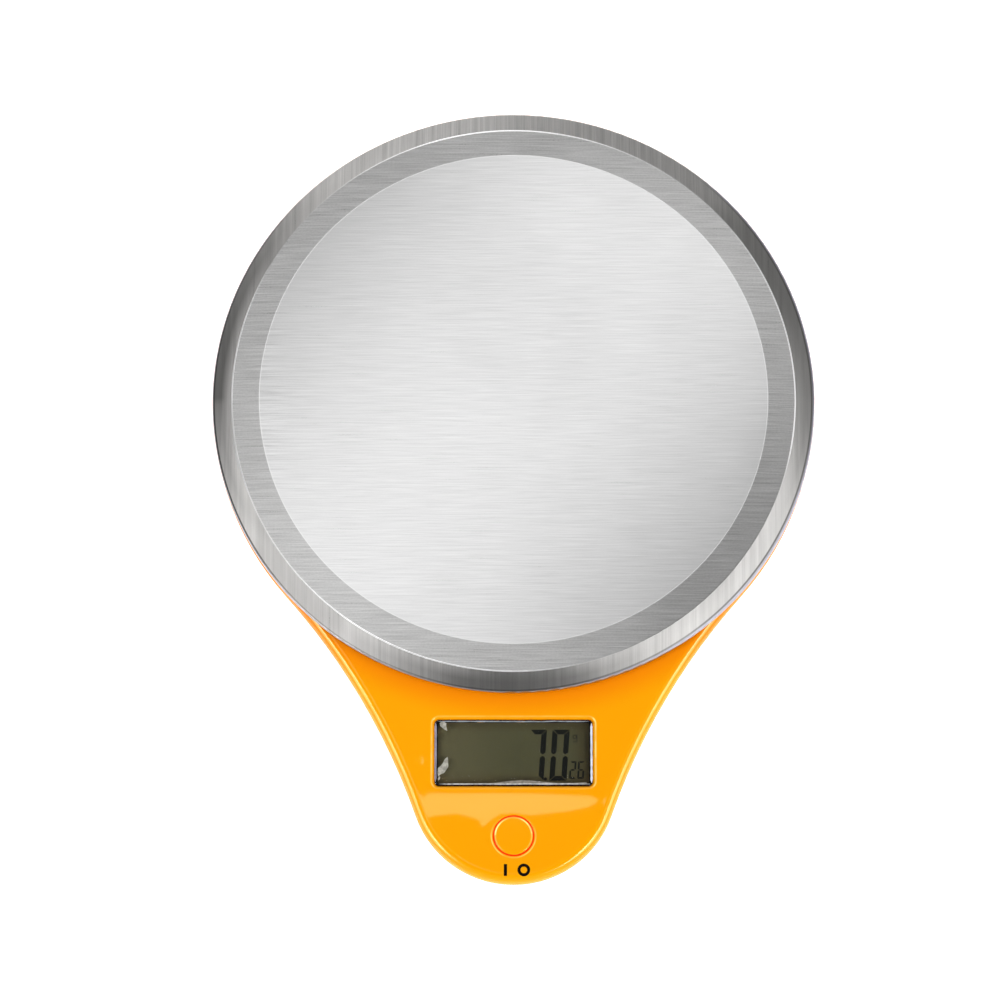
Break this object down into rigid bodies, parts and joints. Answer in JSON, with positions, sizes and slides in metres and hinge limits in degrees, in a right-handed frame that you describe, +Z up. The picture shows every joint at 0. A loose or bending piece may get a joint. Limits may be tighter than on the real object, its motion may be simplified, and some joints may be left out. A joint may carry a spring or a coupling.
{
  "type": "electronic kitchen scale",
  "caption": "Flat battery scale: round brushed steel platform on a load cell, glossy orange housing with a front lobe that holds a display window and a round key.",
  "frame": {"origin": "middle of the overall footprint, on the surface that the rubber feet stand on", "axes": "+X right, +Y from the display lobe to the rear of the platform, +Z up"},
  "size_m": [0.18, 0.236, 0.024],
  "materials": {
    "brushed_steel": "linear brushed, satin",
    "orange_shell": "glossy moulded",
    "orange_key": "glossy moulded",
    "orange_base": "fine-grained moulded",
    "orange_door": "fine-grained moulded",
    "clear_window": "clear acrylic, glossy",
    "lcd_glass": "display glass",
    "polarizer": "grey-green film",
    "reflector": "matt silvered film",
    "zebra": "conductive rubber",
    "white_plastic": "moulded",
    "grey_plastic": "moulded",
    "foam_tape": "double-sided foam",
    "feet_rubber": "matt",
    "steel_screw": "nickel plated",
    "steel_shim": "stamped",
    "cell_aluminium": "milled",
    "silicone": "white silicone coating",
    "board_green": "solder mask",
    "epoxy_black": "epoxy",
    "chip_black": "moulded",
    "can_metal": "drawn can",
    "cap_sleeve": "sleeved can",
    "resistor": "thick film",
    "switch_black": "moulded",
    "contact_nickel": "nickel-plated spring steel",
    "battery_skin": "printed sleeve, no wording",
    "lead_black": "insulation",
    "lead_red": "insulation",
    "lead_white": "insulation",
    "lead_green": "insulation"
  },
  "bodies": {
    "base": {"load_cell": "cell_aluminium", "strain_gauge_coating": "silicone", "load_cell_shim": "steel_shim", "load_cell_screws": "steel_screw", "upper_shell": "orange_shell", "lower_shell": "orange_base", "housing_screws": "steel_screw", "rubber_feet": "feet_rubber", "battery_front": "battery_skin", "battery_rear": "battery_skin", "battery_terminal_minus": "contact_nickel", "battery_terminal_plus": "contact_nickel", "battery_bridge_contact": "contact_nickel", "display_window": "clear_window", "lcd_glass": "lcd_glass", "lcd_polarizer": "polarizer", "lcd_reflector": "reflector", "zebra_strip": "zebra", "lcd_holder": "white_plastic", "main_board": "board_green", "board_screws": "steel_screw", "switch_body": "switch_black", "chip_blob": "epoxy_black", "crystal": "can_metal", "board_capacitor": "cap_sleeve", "amplifier_chip": "chip_black", "chip_resistors": "resistor", "thermistor": "epoxy_black", "load_cell_lead_black": "lead_black", "load_cell_lead_white": "lead_white", "load_cell_lead_green": "lead_green", "load_cell_lead_red": "lead_red", "battery_lead_black": "lead_black", "battery_lead_red": "lead_red"},
    "platform": {"platform_pan": "brushed_steel", "pan_tape": "foam_tape", "platform_carrier": "grey_plastic", "carrier_spacer": "steel_shim", "carrier_screws": "steel_screw"},
    "key": {"button_cap": "orange_key", "switch_plunger": "switch_black"},
    "door": {"battery_door": "orange_door"}
  },
  "joints": [
    {"name": "platform_load", "type": "slide", "parent": "base", "child": "platform", "axis": [0, 0, 1], "range_m": [-0.0005, 0], "stiffness_N_per_m": 98000, "deforming": ["load_cell", "strain_gauge_coating"]},
    {"name": "key_press", "type": "slide", "parent": "base", "child": "key", "axis": [0, 0, -1], "range_m": [0, 0.0003], "stiffness_N_per_m": 6000},
    {"name": "battery_door_hinge", "type": "hinge", "parent": "base", "child": "door", "pos_m": [0, -0.0155, 0.0022], "axis": [1, 0, 0], "range_deg": [0, 75]}
  ]
}
